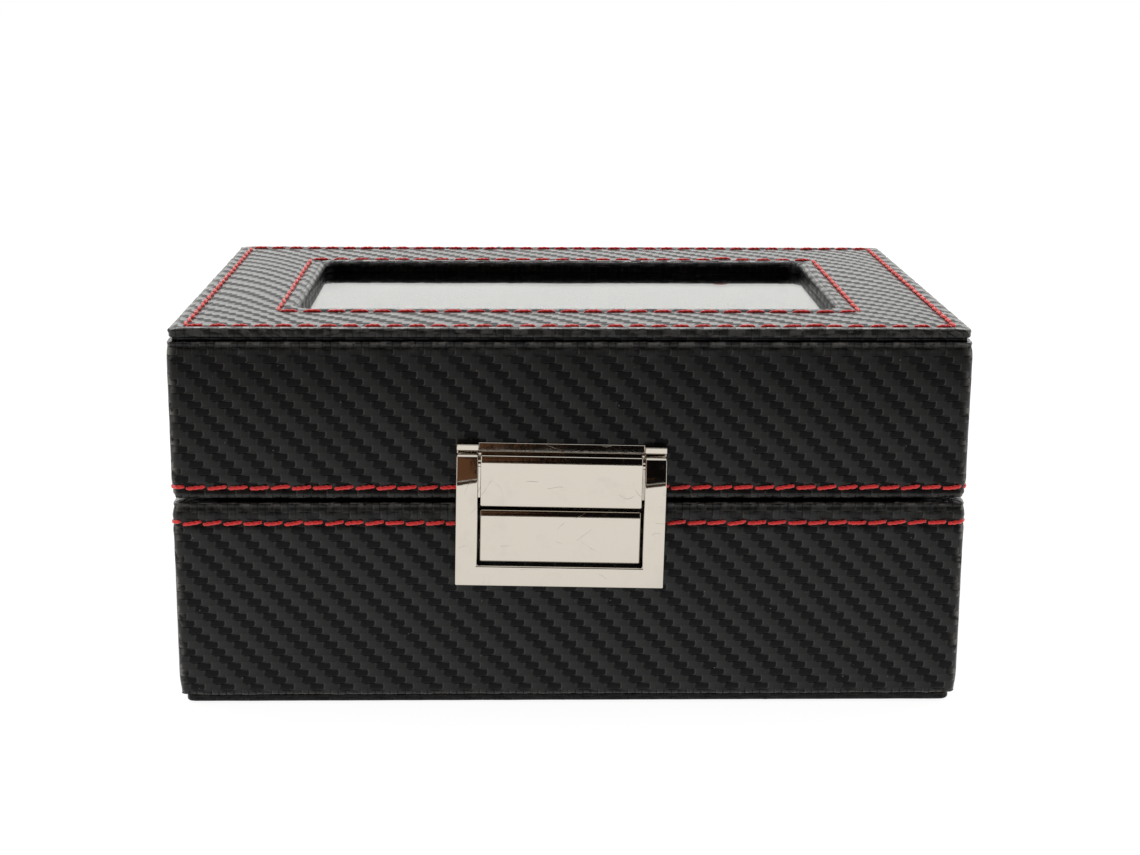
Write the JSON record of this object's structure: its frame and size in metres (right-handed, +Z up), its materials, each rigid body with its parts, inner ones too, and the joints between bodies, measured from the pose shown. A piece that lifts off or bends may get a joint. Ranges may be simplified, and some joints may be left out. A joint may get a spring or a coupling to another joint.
{
  "type": "watch box",
  "caption": "Rectangular lidded box covered in twill-embossed leather, with a glass window in its hinged lid, a bail clasp and watch pillows in compartments.",
  "frame": {"origin": "centre of the bottom face, on the surface the box stands on", "axes": "+X along the width to the right seen from the front, +Y to the rear (hinge side), +Z up"},
  "size_m": [0.165, 0.1234, 0.0808],
  "materials": {
    "board": "raw fibreboard",
    "twill_leather": "twill-embossed, semi-gloss",
    "velvet": "short-pile velvet",
    "pillow_velvet": "short-pile velvet over foam",
    "glass": "clear, polished",
    "nickel": "bright nickel plate with light scratches",
    "zinc_screw": "zinc plated",
    "red_thread": "twisted polyester sewing thread"
  },
  "bodies": {
    "base": {"base_bottom_panel": "twill_leather", "base_front_wall": "board", "base_rear_wall": "board", "base_left_wall": "board", "base_right_wall": "board", "base_leather_wrap": "twill_leather", "base_lining": "velvet", "base_floor_pad": "velvet", "divider_left": "velvet", "divider_right": "velvet", "clasp_catch": "nickel", "clasp_base_screws": "zinc_screw", "hinge_base_leaves": "nickel", "hinge_pins": "nickel", "hinge_base_screws": "nickel"},
    "lid": {"lid_front_wall": "board", "lid_rear_wall": "board", "lid_left_wall": "board", "lid_right_wall": "board", "lid_leather_wrap": "twill_leather", "lid_top_board": "board", "lid_top_cover": "twill_leather", "window_glass": "glass", "glass_retaining_frame": "velvet", "lid_lining": "velvet", "hinge_lid_leaves": "nickel", "hinge_lid_screws": "nickel", "clasp_lid_plate": "nickel", "clasp_upper_block": "nickel", "clasp_pin": "nickel", "clasp_lid_screws": "zinc_screw"},
    "bail": {"clasp_bail": "nickel"},
    "pillow_left": {"watch_pillow_left": "pillow_velvet"},
    "pillow_centre": {"watch_pillow_centre": "pillow_velvet"},
    "pillow_right": {"watch_pillow_right": "pillow_velvet"}
  },
  "joints": [
    {"name": "lid_hinge", "type": "hinge", "parent": "base", "child": "lid", "pos_m": [0, 0.0594, 0.0446], "axis": [-1, 0, 0], "range_deg": [0, 95]},
    {"name": "bail_hinge", "type": "hinge", "parent": "lid", "child": "bail", "pos_m": [-0.00194, -0.06035, 0.05315], "axis": [-0.9998, 0, 0.0192], "range_deg": [0, 135]},
    {"name": "pillow_left_lift", "type": "slide", "parent": "base", "child": "pillow_left", "axis": [0, 0, 1], "range_m": [0, 0.02]},
    {"name": "pillow_centre_lift", "type": "slide", "parent": "base", "child": "pillow_centre", "axis": [0, 0, 1], "range_m": [0, 0.02]},
    {"name": "pillow_right_lift", "type": "slide", "parent": "base", "child": "pillow_right", "axis": [0, 0, 1], "range_m": [0, 0.02]}
  ]
}
